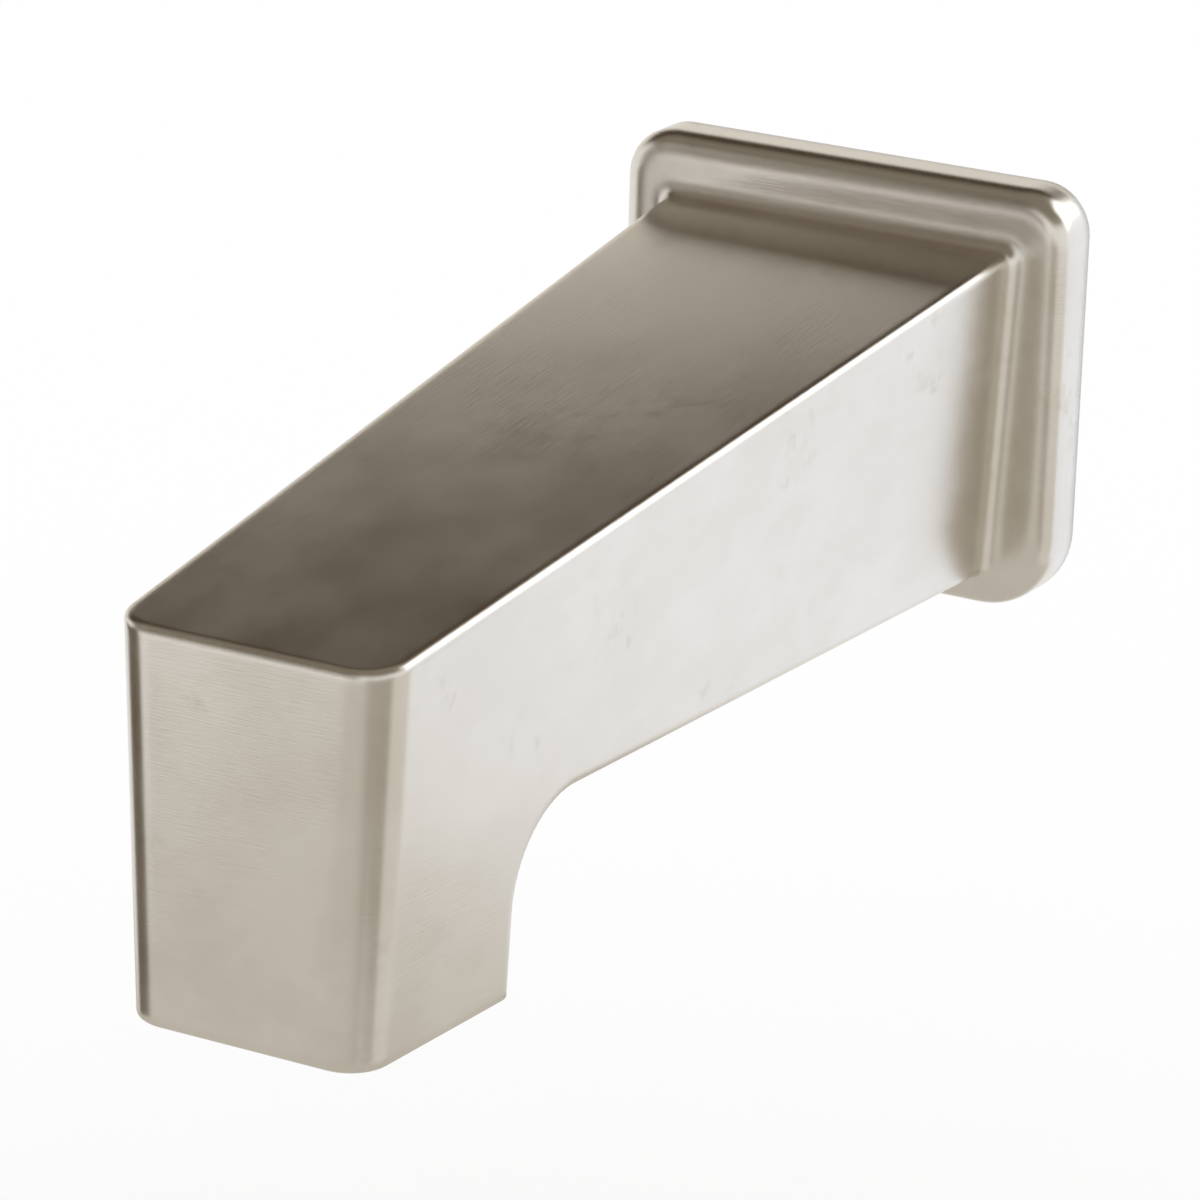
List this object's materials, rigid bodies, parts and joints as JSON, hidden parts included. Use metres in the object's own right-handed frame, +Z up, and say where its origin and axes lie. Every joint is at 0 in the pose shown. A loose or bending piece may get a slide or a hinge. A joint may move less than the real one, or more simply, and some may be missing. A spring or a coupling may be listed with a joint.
{
  "type": "bath spout",
  "caption": "Square tapered bath spout with a drop nose, hollow casting and wall flange. It slips over a supply tube and is clamped by a set screw.",
  "frame": {"origin": "centre of the flange on the wall plane, which is also the axis of the supply tube", "axes": "+Y goes into the wall along the supply tube, so the spout reaches towards -Y; +Z is up and +X is to the right of someone who faces the wall"},
  "size_m": [0.0698, 0.16, 0.0809],
  "materials": {
    "satin_nickel": "brushed satin nickel plate on cast brass",
    "brass": "turned, bare",
    "rubber": "moulded, matt black",
    "stainless_steel": "plain"
  },
  "bodies": {
    "root": {"spout_body": "satin_nickel", "inlet_adapter": "brass", "adapter_seal": "rubber", "tube_seal_front": "rubber", "tube_seal_rear": "rubber", "set_screw": "stainless_steel"}
  },
  "joints": []
}
